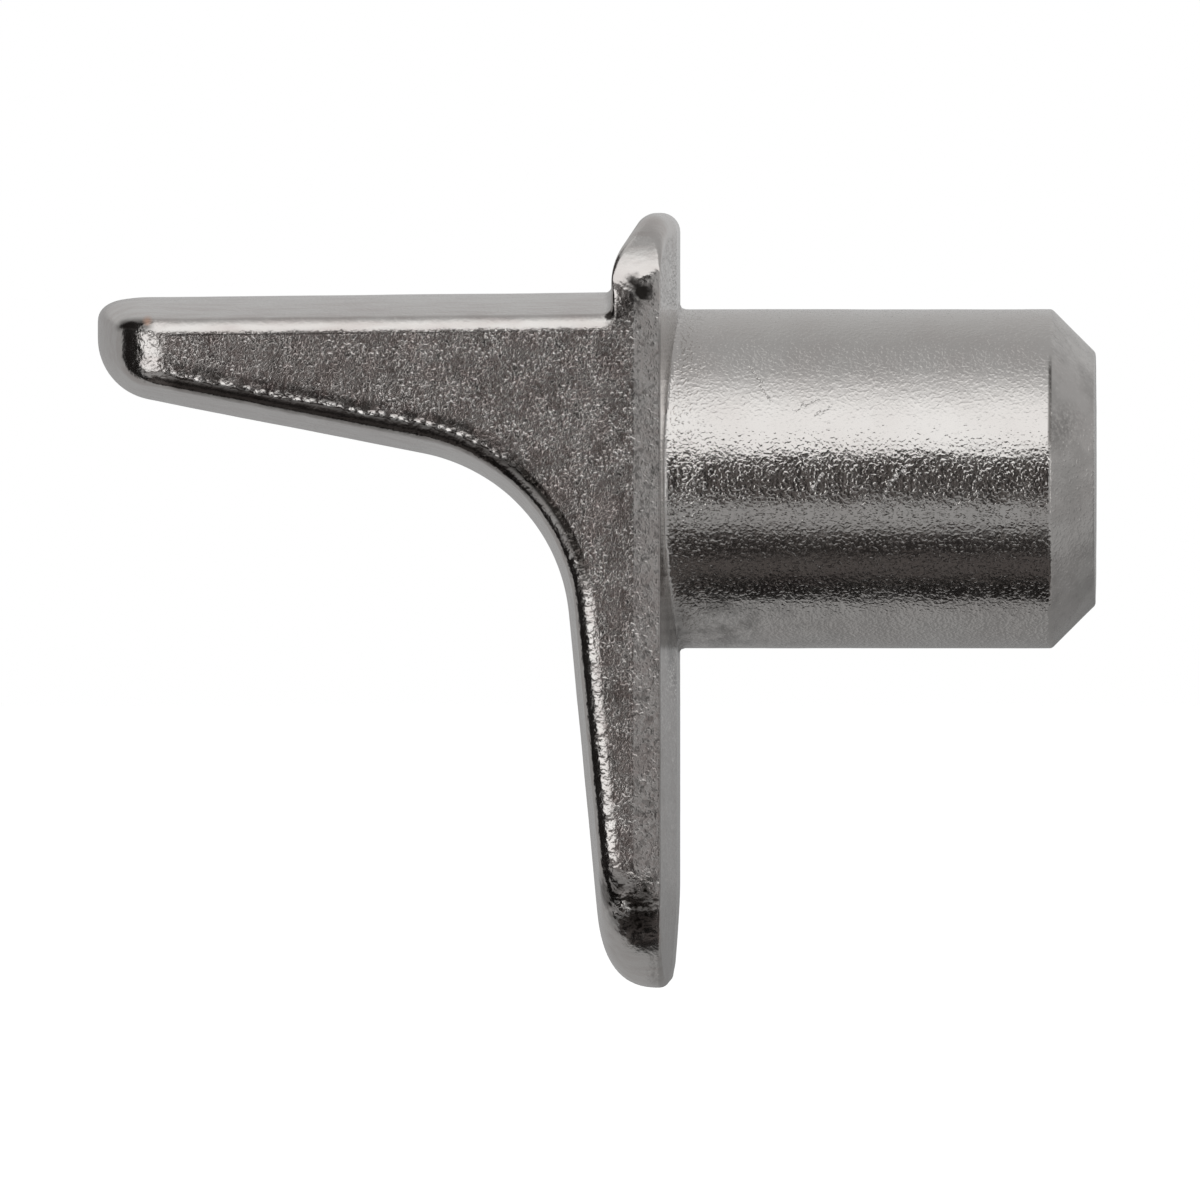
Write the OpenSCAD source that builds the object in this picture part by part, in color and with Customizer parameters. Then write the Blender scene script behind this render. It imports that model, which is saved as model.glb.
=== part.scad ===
// Shelf support pin with a peg, a shelf arm, a bracing leg and a short lip.
// One die-cast and plated piece for a bored cabinet side. All sizes in millimetres.
// The origin is on the peg's axis in the plane of the seat face that lies against the
// cabinet side. +X runs along the peg into the hole, +Z is up, Y is the width.

/* [Peg] */
// Diameter of the peg, the standard bored shelf hole
peg_d = 5; // [3:0.1:5.2]
// Length of the peg from the seat face to its end
peg_length = 6.15; // [3:0.05:14]
// Size of the bevel round the free end of the peg
peg_bevel = 0.64; // [0.2:0.02:1]
// Radius of the flare where the peg leaves the seat face
peg_root_r = 0.3; // [0.24:0.01:0.32]

/* [Arm] */
// Distance from the seat face to the tip of the arm
arm_reach = 8.52; // [6.5:0.1:14]
// Height of the shelf face above the peg's axis, at the lip
arm_top_z = 2.745; // [2.6:0.05:3.2]
// Fall of the shelf face towards the tip, in degrees
arm_fall = 0.62; // [0:0.02:1.5]
// Depth of the arm at its tip
arm_tip_h = 1.34; // [1.3:0.02:1.8]
// Slope of the arm's underside, in degrees
arm_slope = 11.1; // [8:0.1:13]
// How far the oval corner at the top of the tip reaches back along the shelf face
tip_top_back = 0.62; // [0.2:0.02:1]
// How far that corner reaches down the tip
tip_top_down = 0.34; // [0.1:0.02:0.36]
// Corner radius at the bottom of the tip
tip_bottom_r = 0.92; // [0.4:0.02:1]
// How far back the two corners of the tip start, seen from above
tip_plan_r = 0.58; // [0.3:0.02:1]

/* [Leg] */
// Distance from the peg's axis down to the foot of the leg
leg_drop = 7.475; // [6.5:0.1:8]
// Thickness of the leg at its foot
foot_t = 1.06; // [1.05:0.01:1.4]
// Lean of the leg's front from upright, in degrees
leg_lean = 5.45; // [5:0.05:7]
// Radius of the inner curve between arm and leg
inner_r = 2.65; // [1:0.05:3.4]
// How far the oval corner at the front of the foot reaches back along the foot
foot_oval_back = 0.76; // [0.3:0.02:0.78]
// How far that corner reaches up the leg
foot_oval_up = 1.1; // [0.6:0.05:1.5]
// Corner radius of the foot, seen from the front
foot_corner_r = 1.85; // [1.7:0.05:2]
// How far the back of the foot is drawn forward at its lower end
heel_in = 0.1; // [0:0.01:0.15]

/* [Lip] */
// Height of the lip's top above the peg's axis
lip_top_z = 3.92; // [3.9:0.05:4.8]
// Thickness of the lip at its root
lip_t = 0.95; // [0.9:0.01:1.1]
// Thickness of the lip at its top
lip_top_t = 0.46; // [0.42:0.01:0.6]
// Angle of the lip's bevelled front from upright, in degrees
lip_bevel = 33.7; // [25:0.1:40]
// Radius of the bend at the foot of that bevel
lip_bend_r = 1; // [0.4:0.05:1.2]
// Corner radius of the lip, seen from the front
lip_corner_r = 1.15; // [0.6:0.05:1.15]

/* [Width and edges] */
// Width of the arm, leg and lip
width = 6; // [5.8:0.1:9]
// Width of the flat middle land on the shelf face and the seat face
land_w = 2.3; // [1:0.1:3]
// Rounding along the side edges of the shelf face
top_edge_r = 0.24; // [0.15:0.01:0.32]
// Rounding along the side edges of the arm's underside
under_edge_r = 0.28; // [0.2:0.01:0.42]
// Rounding along the side edges of the leg's front
leg_edge_r = 0.3; // [0.2:0.01:0.31]
// Width of the narrow tilted facet along the back edge of each side
facet_w = 0.4; // [0.1:0.01:0.4]

/* [Hidden] */
nickel = [0.66, 0.64, 0.62];
half_w = width / 2;
land = land_w / 2;

// how many outlines, across the width, shape each half of the piece
steps = 18;
// how much each wall is drawn in between the middle land and the side, before its rounding,
// and how fast that grows: above 1 the walls are crowned
top_draft = 0.33;
tip_draft = 0.48;
under_draft = 0.26;
leg_draft = 0.16;
foot_draft = 0.05;
lip_draft = 0.04;
lip_crown = 0.08;
seat_draft = 0.2;
crown = 1.5;
// the rounded edges reach less far round the side than they reach along the wall's height
edge_share = 0.6;
// the lip's thin side edge and the fillet at its root
lip_edge_r = 0.07;
lip_root_r = 0.12;
// the heel is drawn in below this height
heel_z = -6;
// the smallest corner radius left anywhere
least_r = 0.05;
// how far the peg and its flare reach in behind the middle land of the seat face, because
// the face falls away beside the land
peg_inside = 0.3;
root_sink = 0.2;

// depth in from the side face at which outline number j lies, close together near the side
function side_gap(j) = foot_corner_r * pow(1 - sin(90 * j / steps), 1.3);
facet_depth = side_gap(steps - 5);

function unit(a) = [cos(a), sin(a)];
function clamp(v, lo, hi) = max(lo, min(hi, v));
function mix(a, b, t) = a + (b - a) * t;

// inset of a wall at depth y: a crowned draft outside the land, and next to the side an oval
// rounding of height r that starts share * r in from the side
function draft_in(y, d) = d * pow(max(0, abs(y) - land) / (half_w - land), crown);
function round_in(y, r, share = 1) =
    r - r * sqrt(max(0, 1 - pow(max(0, abs(y) - half_w + share * r) / (share * r), 2)));
function wall_in(y, d, r, share = edge_share) = draft_in(y, d) + round_in(y, r, share);

function top_in(y) = wall_in(y, top_draft, top_edge_r);
function tip_in(y) = wall_in(y, tip_draft, tip_plan_r);
function under_in(y) = wall_in(y, under_draft, under_edge_r);
function leg_in(y) = wall_in(y, leg_draft, leg_edge_r);
function foot_in(y) = wall_in(y, foot_draft, foot_corner_r, 1);
function lip_in(y) = wall_in(y, lip_draft, lip_edge_r, 1);
function seat_in(y) =
    let (crease = half_w - facet_depth, past = abs(y) - crease)
    past <= 0 ? seat_draft * max(0, abs(y) - land) / (crease - land)
              : seat_draft + facet_w * past / facet_depth;

// a wall seen from the side is a line [point, direction], with the metal on its left
top_line = [[-lip_t, arm_top_z], 180 + arm_fall];
tip_line = [[-arm_reach, 0], 270];
tip_low_z = arm_top_z - (arm_reach - lip_t) * tan(arm_fall) - arm_tip_h;
under_line = [[-arm_reach, tip_low_z], 360 - arm_slope];
leg_line = [[-foot_t, -leg_drop], 270 + leg_lean];
foot_line = [[0, -leg_drop], 0];
lip_line = [[-lip_t, 0], 270];

function inward(l, d) = [l[0] + d * unit(l[1] + 90), l[1]];
function meet(a, b) =
    let (u = unit(a[1]), v = unit(b[1]), w = b[0] - a[0])
    a[0] + u * (w[0] * v[1] - w[1] * v[0]) / (u[0] * v[1] - u[1] * v[0]);

// an arc of n steps that joins two walls: r above 0 rounds an outer corner, below 0 an inner one
function corner(a, b, r, n) =
    let (c = meet(inward(a, r), inward(b, r)))
    [for (i = [0:n]) c + r * unit(mix(a[1], b[1], i / n) - 90)];

// an oval corner that starts a_reach before the two walls meet and ends b_reach after
function oval_corner(a, b, a_reach, b_reach, n) =
    let (v = meet(a, b), p = v - a_reach * unit(a[1]), q = v + b_reach * unit(b[1]))
    [for (i = [0:n]) let (t = i / n, s = 1 - t) s * s * p + 2 * s * t * v + t * t * q];

// the lip's front and the back of the piece, as x at height z
bend_z = lip_top_z - (lip_t - lip_top_t) / tan(lip_bevel);
bend_reach = lip_bend_r * tan(lip_bevel / 2);
function lip_front(z) =
    z <= bend_z - bend_reach ? -lip_t
    : z >= bend_z + bend_reach * cos(lip_bevel) ? (z - bend_z) * tan(lip_bevel) - lip_t
    : lip_bend_r - lip_t - sqrt(pow(lip_bend_r, 2) - pow(z - bend_z + bend_reach, 2));
function heel(z) = -heel_in * pow(max(0, heel_z - z) / (leg_drop + heel_z), 1.5);

// height of the lip's top at depth y, and the radii of its front and back top edges there
function lip_z(y) = lip_top_z - draft_in(y, lip_crown) - round_in(y, lip_corner_r);
function lip_edges(y) =
    let (rise = (lip_z(y) - lip_z(half_w)) / (lip_z(0) - lip_z(half_w)),
         t = -seat_in(y) - lip_front(lip_z(y)) - lip_in(y))
    [for (share = [0.32, 0.62]) min(share * t, mix(lip_edge_r, share * lip_top_t, rise * rise))];

// the outline at depth y, anticlockwise from the bottom of the heel
function outline(y) =
    let (top = inward(top_line, top_in(y)),
         tip = inward(tip_line, tip_in(y)),
         under = inward(under_line, under_in(y)),
         leg = inward(leg_line, leg_in(y)),
         foot = inward(foot_line, foot_in(y)),
         back = [[-seat_in(y), 0], 90],
         front = inward(lip_line, lip_in(y)),
         foot_z = foot[0][1],
         heel_r = clamp(0.15 - seat_in(y), least_r, 0.15),
         foot_thick = -seat_in(y) - meet(leg, foot)[0],
         foot_back = min(max(foot_oval_back - leg_in(y), least_r), 0.72 * foot_thick),
         tip_share = 1 - 1.2 * top_in(y),
         edges = lip_edges(y),
         r = edges[0],
         z0 = lip_z(y) - r,
         root_r = lip_root_r + min(lip_in(y), top_in(y)),
         z1 = min(meet(front, top)[1] + root_r + 0.03, z0 - 0.01),
         shift_heel = [heel(foot_z), 0])
    concat(
        [for (p = corner(foot, back, heel_r, 3)) p + shift_heel],
        [for (i = [1:3]) let (z = mix(foot_z + heel_r, heel_z + 0.75, i / 3))
            [heel(z) - seat_in(y), z]],
        corner(back, [[0, lip_z(y)], 180], edges[1], 4),
        [for (i = [0:4]) let (a = 90 - 22.5 * i, z = z0 + r * sin(a))
            [lip_front(z) + lip_in(y) + r * (1 - cos(a)), z]],
        [for (i = [1:8]) let (z = mix(z0, z1, i / 8)) [lip_front(z) + lip_in(y), z]],
        corner(front, top, -root_r, 4),
        oval_corner(top, tip, tip_share * tip_top_back, tip_share * tip_top_down, 8),
        corner(tip, under, max(tip_bottom_r - 2.2 * under_in(y), least_r), 8),
        corner(under, leg, -inner_r - min(under_in(y), leg_in(y)), 14),
        oval_corner(leg, [foot[0], 360], foot_oval_up / foot_oval_back * foot_back, foot_back, 10)
    );

// one body stacked from the outlines, with a flat cap on each side
module casting() {
    depths = concat([for (j = [steps:-1:0]) side_gap(j) - half_w],
                    [for (j = [0:steps]) half_w - side_gap(j)]);
    n = len(outline(0));
    last = len(depths) - 1;
    // the caps fan out from a point in the web that sees the whole side
    web = [-0.75, 1.2];
    hub = n * (last + 1);
    polyhedron(
        points = concat(
            [for (y = depths) for (p = outline(y)) [p[0], y, p[1]]],
            [[web[0], -half_w, web[1]], [web[0], half_w, web[1]]]),
        faces = concat(
            [for (k = [0:last - 1]) for (i = [0:n - 1])
                let (a = k * n + i, b = k * n + (i + 1) % n) [a, b, b + n]],
            [for (k = [0:last - 1]) for (i = [0:n - 1])
                let (a = k * n + i, b = k * n + (i + 1) % n) [a, b + n, a + n]],
            [for (i = [0:n - 1]) [hub, (i + 1) % n, i]],
            [for (i = [0:n - 1]) [hub + 1, last * n + i, last * n + (i + 1) % n]]));
}

// the turned shape of the peg: a bevelled end and a small flare at the seat face
module peg() {
    r = peg_d / 2;
    rotate([0, 90, 0])
        rotate_extrude($fn = 96)
            difference() {
                polygon([
                    [0, -peg_inside], [r + peg_root_r, -peg_inside],
                    [r + peg_root_r, peg_root_r - root_sink], [r, peg_root_r - root_sink],
                    [r, peg_length - peg_bevel], [r - peg_bevel, peg_length], [0, peg_length]
                ]);
                translate([r + peg_root_r, peg_root_r - root_sink])
                    circle(r = peg_root_r, $fn = 48);
            }
}

module shelf_support() {
    color(nickel)
        union() {
            casting();
            peg();
        }
}

// Which sub-part to draw, or all of them

shelf_support();
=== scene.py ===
"""Shelf support pin: a nickel-plated casting with a peg, a shelf arm, a leg and a lip."""
import math

import bmesh
import bpy
import numpy as np
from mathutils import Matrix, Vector


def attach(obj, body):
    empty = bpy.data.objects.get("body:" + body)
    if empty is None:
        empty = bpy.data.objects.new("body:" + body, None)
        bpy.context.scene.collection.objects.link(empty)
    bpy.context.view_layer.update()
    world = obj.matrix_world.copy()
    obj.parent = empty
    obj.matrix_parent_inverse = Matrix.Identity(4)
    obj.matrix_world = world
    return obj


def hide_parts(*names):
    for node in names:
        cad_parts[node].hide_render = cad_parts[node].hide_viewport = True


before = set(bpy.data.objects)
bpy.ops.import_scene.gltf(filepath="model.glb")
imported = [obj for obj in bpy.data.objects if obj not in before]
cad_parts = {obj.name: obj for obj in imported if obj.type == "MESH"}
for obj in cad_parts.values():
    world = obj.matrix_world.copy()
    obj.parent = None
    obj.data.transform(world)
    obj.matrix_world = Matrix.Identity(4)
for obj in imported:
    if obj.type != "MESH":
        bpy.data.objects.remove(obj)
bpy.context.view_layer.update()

bl_info = {
    "name": "Shelf support pin",
    "version": (1, 0, 0),
    "blender": (4, 5, 0),
    "location": "3D View > Sidebar > Shelf pin",
    "description": "Builds the cast surface and the plating of a shelf support pin, and its studio",
    "category": "Object",
}

MM = 0.001
NODE = "shelf_support"


# ---------------------------------------------------------------- settings


class CastingSettings(bpy.types.PropertyGroup):
    """Mesh and unevenness of the casting, in millimetres"""

    soft_rounds: bpy.props.IntProperty(
        name="Joint softening", description="How many times the peg's joint is softened",
        default=4, min=0, max=12)
    peg_edge: bpy.props.FloatProperty(
        name="Peg edge", description="Radius of the peg's turned edges, in millimetres",
        default=0.085, min=0.01, max=0.2)
    swell: bpy.props.FloatProperty(
        name="Swell", description="Height of the broad unevenness of the walls, in millimetres",
        default=0.014, min=0.0, max=0.05)
    ripple: bpy.props.FloatProperty(
        name="Ripple", description="Height of the fine unevenness of the walls, in millimetres",
        default=0.004, min=0.0, max=0.02)
    seed: bpy.props.FloatProperty(
        name="Seed", description="Place in the noise that the unevenness is taken from", default=4.0)


class PlatingSettings(bpy.types.PropertyGroup):
    """Colour and finish of the nickel plating"""

    nickel: bpy.props.FloatVectorProperty(
        name="Nickel", description="Colour of the bright plating", subtype="COLOR", size=3,
        default=(0.66, 0.64, 0.62), min=0.0, max=1.0)
    stain: bpy.props.FloatVectorProperty(
        name="Stain", description="Colour of the plating in the pits of the grain",
        subtype="COLOR", size=3, default=(0.42, 0.345, 0.325), min=0.0, max=1.0)
    # soot colours the dirt in pits and also the painted shade and painted dark reflections on the casting
    soot_and_shade: bpy.props.FloatVectorProperty(
        name="Soot", description="Colour of the dirt in a deep pit", subtype="COLOR", size=3,
        default=(0.05, 0.045, 0.04), min=0.0, max=1.0)
    copper: bpy.props.FloatVectorProperty(
        name="Copper", description="Colour where the undercoat shows through", subtype="COLOR",
        size=3, default=(0.62, 0.40, 0.30), min=0.0, max=1.0)
    wall_roughness: bpy.props.FloatProperty(
        name="Wall roughness", description="Roughness of the drafted walls and the peg",
        default=0.17, min=0.0, max=1.0, subtype="FACTOR")
    side_roughness: bpy.props.FloatProperty(
        name="Side roughness", description="Roughness of the grainy side faces",
        default=0.24, min=0.0, max=1.0, subtype="FACTOR")
    side_grain: bpy.props.FloatProperty(
        name="Side grain", description="Height of the grain on the side faces, in millimetres",
        default=0.0055, min=0.0, max=0.1)
    pit_depth: bpy.props.FloatProperty(
        name="Pits", description="Depth of the pits on the side faces, in millimetres",
        default=0.0025, min=0.0, max=0.1)
    speck: bpy.props.FloatProperty(
        name="Specks", description="Height of the bright specks on the side faces, in millimetres",
        default=0.0055, min=0.0, max=0.1)
    bead: bpy.props.FloatProperty(
        name="Beads", description="Height of the chain along the lower edges, in millimetres",
        default=0.040, min=0.0, max=0.1)
    rag: bpy.props.FloatProperty(
        name="Ragged edges", description="Unevenness of the rounded edges, in millimetres",
        default=0.012, min=0.0, max=0.1)
    wall_grain: bpy.props.FloatProperty(
        name="Wall grain", description="Height of the grain on the walls, in millimetres",
        default=0.004, min=0.0, max=0.1)
    peg_grain: bpy.props.FloatProperty(
        name="Peg grain", description="Height of the grain on the peg, in millimetres",
        default=0.0075, min=0.0, max=0.1)


class StudioSettings(bpy.types.PropertyGroup):
    """Camera, floor and light"""

    azimuth: bpy.props.FloatProperty(
        name="Azimuth", description="Camera's turn from straight side on, towards the peg's end",
        default=math.radians(1.5), subtype="ANGLE")
    elevation: bpy.props.FloatProperty(
        name="Elevation", description="Camera's height above level",
        default=math.radians(0.85), subtype="ANGLE")
    distance: bpy.props.FloatProperty(
        name="Distance", description="From the camera to the middle of the piece",
        default=0.45, unit="LENGTH")
    frame_width: bpy.props.FloatProperty(
        name="Frame width", description="Width of the view at the piece",
        default=0.0177, unit="LENGTH")
    aim: bpy.props.FloatVectorProperty(
        name="Aim", description="Point that the camera looks at", size=3, unit="LENGTH",
        default=(-0.001158, 0.0, -0.001789))
    floor_drop: bpy.props.FloatProperty(
        name="Floor", description="Height of the floor", default=-0.0125, unit="LENGTH")
    soft_box: bpy.props.FloatProperty(
        name="Soft boxes", description="Brightness of the soft boxes", default=1.2, min=0.0)
    surround: bpy.props.FloatProperty(
        name="Surround", description="Brightness of the grey walls round the table",
        default=0.44, min=0.0)


# ---------------------------------------------------------------- node helpers


def link(tree, *pairs):
    for start, end in pairs:
        tree.links.new(start, end)


def clear_tree(owner):
    """The owner's node tree, emptied."""
    owner.use_nodes = True
    owner.node_tree.nodes.clear()
    return owner.node_tree


class Recipe:
    """Short words for the shader nodes that the plating is written with."""

    def __init__(self, tree):
        self.tree = tree

    def value(self, kind, inputs, out=0, **settings):
        """A node's output; each input is a number or another node's output."""
        made = self.tree.nodes.new(kind)
        for key, setting in settings.items():
            setattr(made, key, setting)
        for key, given in inputs.items():
            if isinstance(given, bpy.types.NodeSocket):
                self.tree.links.new(given, made.inputs[key])
            else:
                made.inputs[key].default_value = given
        return made.outputs[out]

    def math(self, operation, a, b=0.0):
        return self.value("ShaderNodeMath", {0: a, 1: b}, operation=operation)

    def vector(self, operation, a, b=(0, 0, 0), out=0):
        return self.value("ShaderNodeVectorMath", {0: a, 1: b}, out, operation=operation)

    def add(self, *terms):
        total = terms[0]
        for term in terms[1:]:
            total = self.math("ADD", total, term)
        return total

    def times(self, a, b):
        return self.math("MULTIPLY", a, b)

    def about_zero(self, value):
        return self.math("SUBTRACT", value, 0.5)

    def span(self, value, low, high, to_low=0.0, to_high=1.0, smooth=False):
        return self.value(
            "ShaderNodeMapRange",
            {"Value": value, "From Min": low, "From Max": high, "To Min": to_low, "To Max": to_high},
            interpolation_type="SMOOTHSTEP" if smooth else "LINEAR")

    def attribute(self, name):
        return self.value("ShaderNodeAttribute", {}, "Fac", attribute_name=name)

    def noise(self, place, size_mm, detail=1.0, roughness=0.5, distortion=0.0):
        return self.value(
            "ShaderNodeTexNoise",
            {"Vector": place, "Scale": 1 / (size_mm * MM), "Detail": detail, "Roughness": roughness,
             "Distortion": distortion})

    def mix(self, share, a, b):
        colours = [(*c, 1) if isinstance(c, (tuple, list)) else c for c in (a, b)]
        return self.value("ShaderNodeMix", {0: share, 6: colours[0], 7: colours[1]}, 2,
                          data_type="RGBA")


# ---------------------------------------------------------------- the casting's mesh


def ease(value, start, end):
    """0 before start, 1 after end, smooth between."""
    t = np.clip((value - start) / (end - start), 0, 1)
    return t * t * (3 - 2 * t)


def edge_distance(x, z, rows):
    """Distance in millimetres from each point (x, z) to the nearest of the runs between rows."""
    nearest = np.full(len(x), 9.0)
    for (ax, az), (bx, bz) in zip(rows, rows[1:]):
        dx, dz = bx - ax, bz - az
        t = np.clip(((x - ax) * dx + (z - az) * dz) / max(dx * dx + dz * dz, 1e-9), 0, 1)
        nearest = np.minimum(nearest, np.hypot(x - ax - t * dx, z - az - t * dz))
    return nearest


# ---------------------------------------------------------------- the casting's outline
# Sizes in millimetres. X runs along the peg into the hole, Z is up and Y is the width.

HALF_W = 3.0
LAND = 1.15
PEG_R = 2.5
PEG_END = 6.15
PEG_BEVEL = 0.64
FLARE_R = 0.3
FLARE_SINK = 0.2
LIP_T = 0.95
LIP_TOP_T = 0.46
LIP_TOP = 3.92
LIP_SLOPE = math.radians(33.7)
BEND_R = 1.0
FOOT = -7.475
HEEL_Z = -6.0
INNER_R = 2.65
EDGE_SHARE = 0.6
CROWN = 1.5
FACET = (0.0852, 0.2, 0.4)

# a wall: a point (x, z) on it, its direction in degrees with the metal on its left, how much it is
# drawn in towards the side, the height of its rounded edge and how wide that is for its height
WALLS = {
    "top": ((-0.95, 2.745), 180.62, 0.33, 0.24, EDGE_SHARE),
    "tip": ((-8.52, 0.0), 270.0, 0.48, 0.58, EDGE_SHARE),
    "under": ((-8.52, 1.3231), 348.9, 0.26, 0.28, EDGE_SHARE),
    "leg": ((-1.06, -7.475), 275.45, 0.16, 0.3, EDGE_SHARE),
    "foot": ((0.0, -7.475), 0.0, 0.05, 1.85, 1.0),
    "lip": ((-0.95, 0.0), 270.0, 0.04, 0.07, 1.0),
}


def drawn_in(y, draft, r, share):
    """How far a wall stands in at depth y: its draft, then its rounded edge."""
    draft_in = draft * (max(0.0, y - LAND) / (HALF_W - LAND)) ** CROWN
    reach = share * r
    t = min(1.0, max(0.0, y - HALF_W + reach) / reach)
    return draft_in + r - r * math.sqrt(1 - t * t)


def seat_in(y):
    """How far the back stands in at depth y: it falls away to a narrow facet along each side."""
    depth, fall, width = FACET
    crease = HALF_W - depth
    if y <= crease:
        return fall * max(0.0, y - LAND) / (crease - LAND)
    return fall + width * (y - crease) / depth


def along(degrees):
    return Vector((math.cos(math.radians(degrees)), math.sin(math.radians(degrees))))


def inward(wall, distance):
    return wall[0] + distance * along(wall[1] + 90), wall[1]


def meet(a, b):
    u, v, w = along(a[1]), along(b[1]), b[0] - a[0]
    return a[0] + u * (w.x * v.y - w.y * v.x) / (u.x * v.y - u.y * v.x)


def corner(a, b, r, count):
    """An arc from wall a to wall b: r above 0 rounds an outer corner, below 0 an inner one."""
    centre = meet(inward(a, r), inward(b, r))
    return [centre + r * along(a[1] + (b[1] - a[1]) * k / count - 90) for k in range(count + 1)]


def oval_corner(a, b, a_reach, b_reach, count):
    """An oval corner that starts a_reach before the walls meet and ends b_reach after."""
    v = meet(a, b)
    p, q = v - a_reach * along(a[1]), v + b_reach * along(b[1])
    return [(1 - t) ** 2 * p + 2 * (1 - t) * t * v + t * t * q
            for t in (k / count for k in range(count + 1))]


def lip_front(z):
    bend = LIP_TOP - (LIP_T - LIP_TOP_T) / math.tan(LIP_SLOPE)
    reach = BEND_R * math.tan(LIP_SLOPE / 2)
    if z <= bend - reach:
        return -LIP_T
    if z >= bend + reach * math.cos(LIP_SLOPE):
        return (z - bend) * math.tan(LIP_SLOPE) - LIP_T
    return BEND_R - LIP_T - math.sqrt(BEND_R ** 2 - (z - bend + reach) ** 2)


def heel_back(z):
    return -0.1 * (max(0.0, HEEL_Z - z) / (HEEL_Z - FOOT)) ** 1.5


def lip_height(y):
    return LIP_TOP - drawn_in(y, 0.08, 1.15, 1.0)


def outline(y):
    """The outline at depth y, as corners and bends (x, z), anticlockwise from the heel."""
    inset = {name: drawn_in(y, *wall[2:]) for name, wall in WALLS.items()}
    top, tip, under, leg, foot, front = (
        inward((Vector(wall[0]), wall[1]), inset[name]) for name, wall in WALLS.items())
    rear = seat_in(y)
    back = (Vector((-rear, 0)), 90)
    foot_z = foot[0].y
    heel_r = max(0.05, min(0.15, 0.15 - rear))
    foot_thick = -rear - meet(leg, foot).x
    foot_reach = min(max(0.76 - inset["leg"], 0.05), 0.72 * foot_thick)
    height = lip_height(y)
    rise = (height - lip_height(HALF_W)) / (LIP_TOP - lip_height(HALF_W))
    thick = -rear - lip_front(height) - inset["lip"]
    r, back_r = (min(part * thick, 0.07 + (part * LIP_TOP_T - 0.07) * rise * rise)
                 for part in (0.32, 0.62))
    low = height - r
    root_r = 0.12 + min(inset["lip"], inset["top"])
    root = min(meet(front, top).y + root_r + 0.03, low - 0.01)

    tip_share = 1 - 1.2 * inset["top"]

    def heel(p):
        return p + Vector((heel_back(foot_z), 0))

    def lip(z, inset_by):
        return Vector((lip_front(z) + inset_by, z))

    heights = [foot_z + heel_r + (HEEL_Z + 0.75 - foot_z - heel_r) * k / 14 for k in range(1, 15)]
    edge = [math.radians(90 - 11.25 * k) for k in range(9)]
    return [
        [heel(p) for p in corner(foot, back, heel_r, 6)],
        [Vector((heel_back(z) - rear, z)) for z in heights],
        corner(back, (Vector((0, height)), 180), back_r, 8),
        [lip(low + r * math.sin(a), inset["lip"] + r * (1 - math.cos(a))) for a in edge],
        [lip(low + (root - low) * k / 26, inset["lip"]) for k in range(1, 27)],
        corner(front, top, -root_r, 8),
        oval_corner(top, tip, 0.62 * tip_share, 0.34 * tip_share, 12),
        corner(tip, under, max(0.92 - 2.2 * inset["under"], 0.05), 16),
        corner(under, leg, -INNER_R - min(inset["under"], inset["leg"]), 36),
        oval_corner(leg, (foot[0], 360), 1.1 / 0.76 * foot_reach, foot_reach, 18),
    ]


# how many points lie on the straight run after each of the outline's corners and bends
RUNS = (1, 84, 3, 0, 1, 66, 4, 38, 38, 3)


def outline_points(y):
    """The outline at depth y with its straight runs divided, as rows (x, z)."""
    parts = outline(y)
    points = []
    for part, after, run in zip(parts, parts[1:] + parts[:1], RUNS):
        points.extend(part)
        points.extend(part[-1].lerp(after[0], k / (run + 1)) for k in range(1, run + 1))
    return np.array([tuple(p) for p in points])


def side_gaps():
    """Distances in from the side at which the outlines lie, close together at the rounded edge."""
    near = [0.185 * (1 - math.cos(math.radians(11.25 * k))) for k in range(9)]
    near = sorted(near + [FACET[0]])
    step = 0.03
    while near[-1] < 1.75:
        near.append(near[-1] + step)
        step = min(0.105, step * 1.2)
    near[-1] = HALF_W - LAND
    count = 11
    return near + [near[-1] + LAND * k / count for k in range(1, count + 1)]


def cast_body():
    """The casting without its peg: outlines stacked across the width, and two flat sides."""
    gaps = side_gaps()
    depths = [g - HALF_W for g in gaps] + [HALF_W - g for g in gaps[-2::-1]]
    rows = [outline_points(abs(y)) for y in depths]
    n = len(rows[0])
    # the flat sides are rings drawn in to a point in the web that sees the whole side
    web = np.array([-0.75, 1.2])
    shares = [0.997] + [0.985 - 0.985 * (k / 26) for k in range(26)]
    rings = [(y, row) for y, row in zip(depths, rows)]
    rings = ([(depths[0], web + (rows[0] - web) * s) for s in reversed(shares)] + rings
             + [(depths[-1], web + (rows[-1] - web) * s) for s in shares])
    place = [np.column_stack([row[:, 0], np.full(n, y), row[:, 1]]) for y, row in rings]
    place.append(np.array([(web[0], depths[0], web[1]), (web[0], depths[-1], web[1])]))
    faces = []
    for k in range(len(rings) - 1):
        for i in range(n):
            a, b = k * n + i, k * n + (i + 1) % n
            faces.append((a, b, b + n, a + n))
    hub = n * len(rings)
    last = hub - n
    for i in range(n):
        j = (i + 1) % n
        faces.append((hub, j, i))
        faces.append((hub + 1, last + i, last + j))
    return np.concatenate(place), faces


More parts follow.
